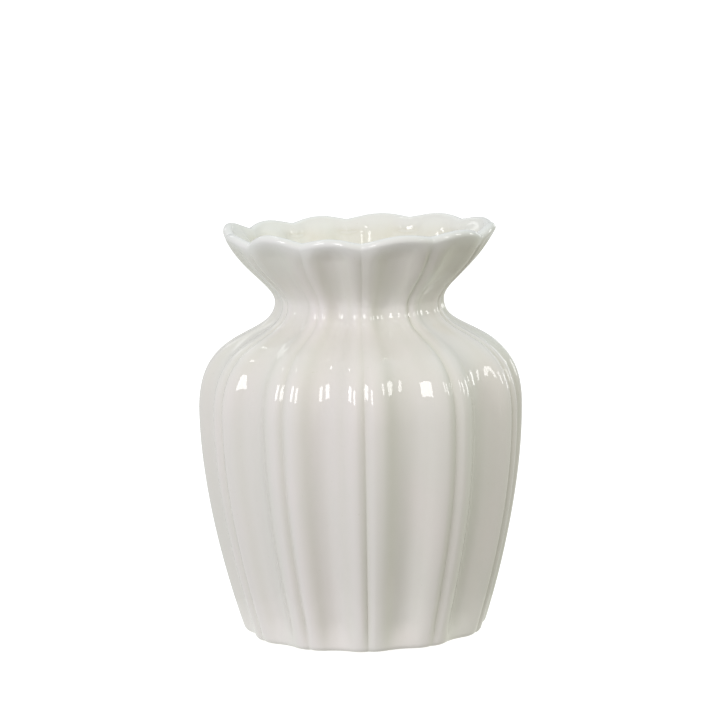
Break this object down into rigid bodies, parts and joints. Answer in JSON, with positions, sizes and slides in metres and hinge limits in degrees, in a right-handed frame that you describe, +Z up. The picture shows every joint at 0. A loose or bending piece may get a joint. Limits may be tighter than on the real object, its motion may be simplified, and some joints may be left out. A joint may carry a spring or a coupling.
{
  "type": "vase",
  "caption": "Glazed ceramic flower vase with hollow flutes, a full belly, a narrow neck and a flared, scalloped mouth",
  "frame": {"origin": "on the axis of the vase, at the middle of the plane that its foot ring stands on", "axes": "+Z up along the axis of the vase, -Y towards the picture's viewer, +X to the viewer's right"},
  "size_m": [0.1506, 0.1506, 0.1908],
  "materials": {
    "bare_clay": "matte, fine grain",
    "outer_glaze": "glossy off-white glaze",
    "liner_glaze": "glossy warm cream glaze"
  },
  "bodies": {
    "root": {"clay_body": "bare_clay", "outer_glaze": "outer_glaze", "liner_glaze": "liner_glaze", "base_glaze": "outer_glaze"}
  },
  "joints": []
}
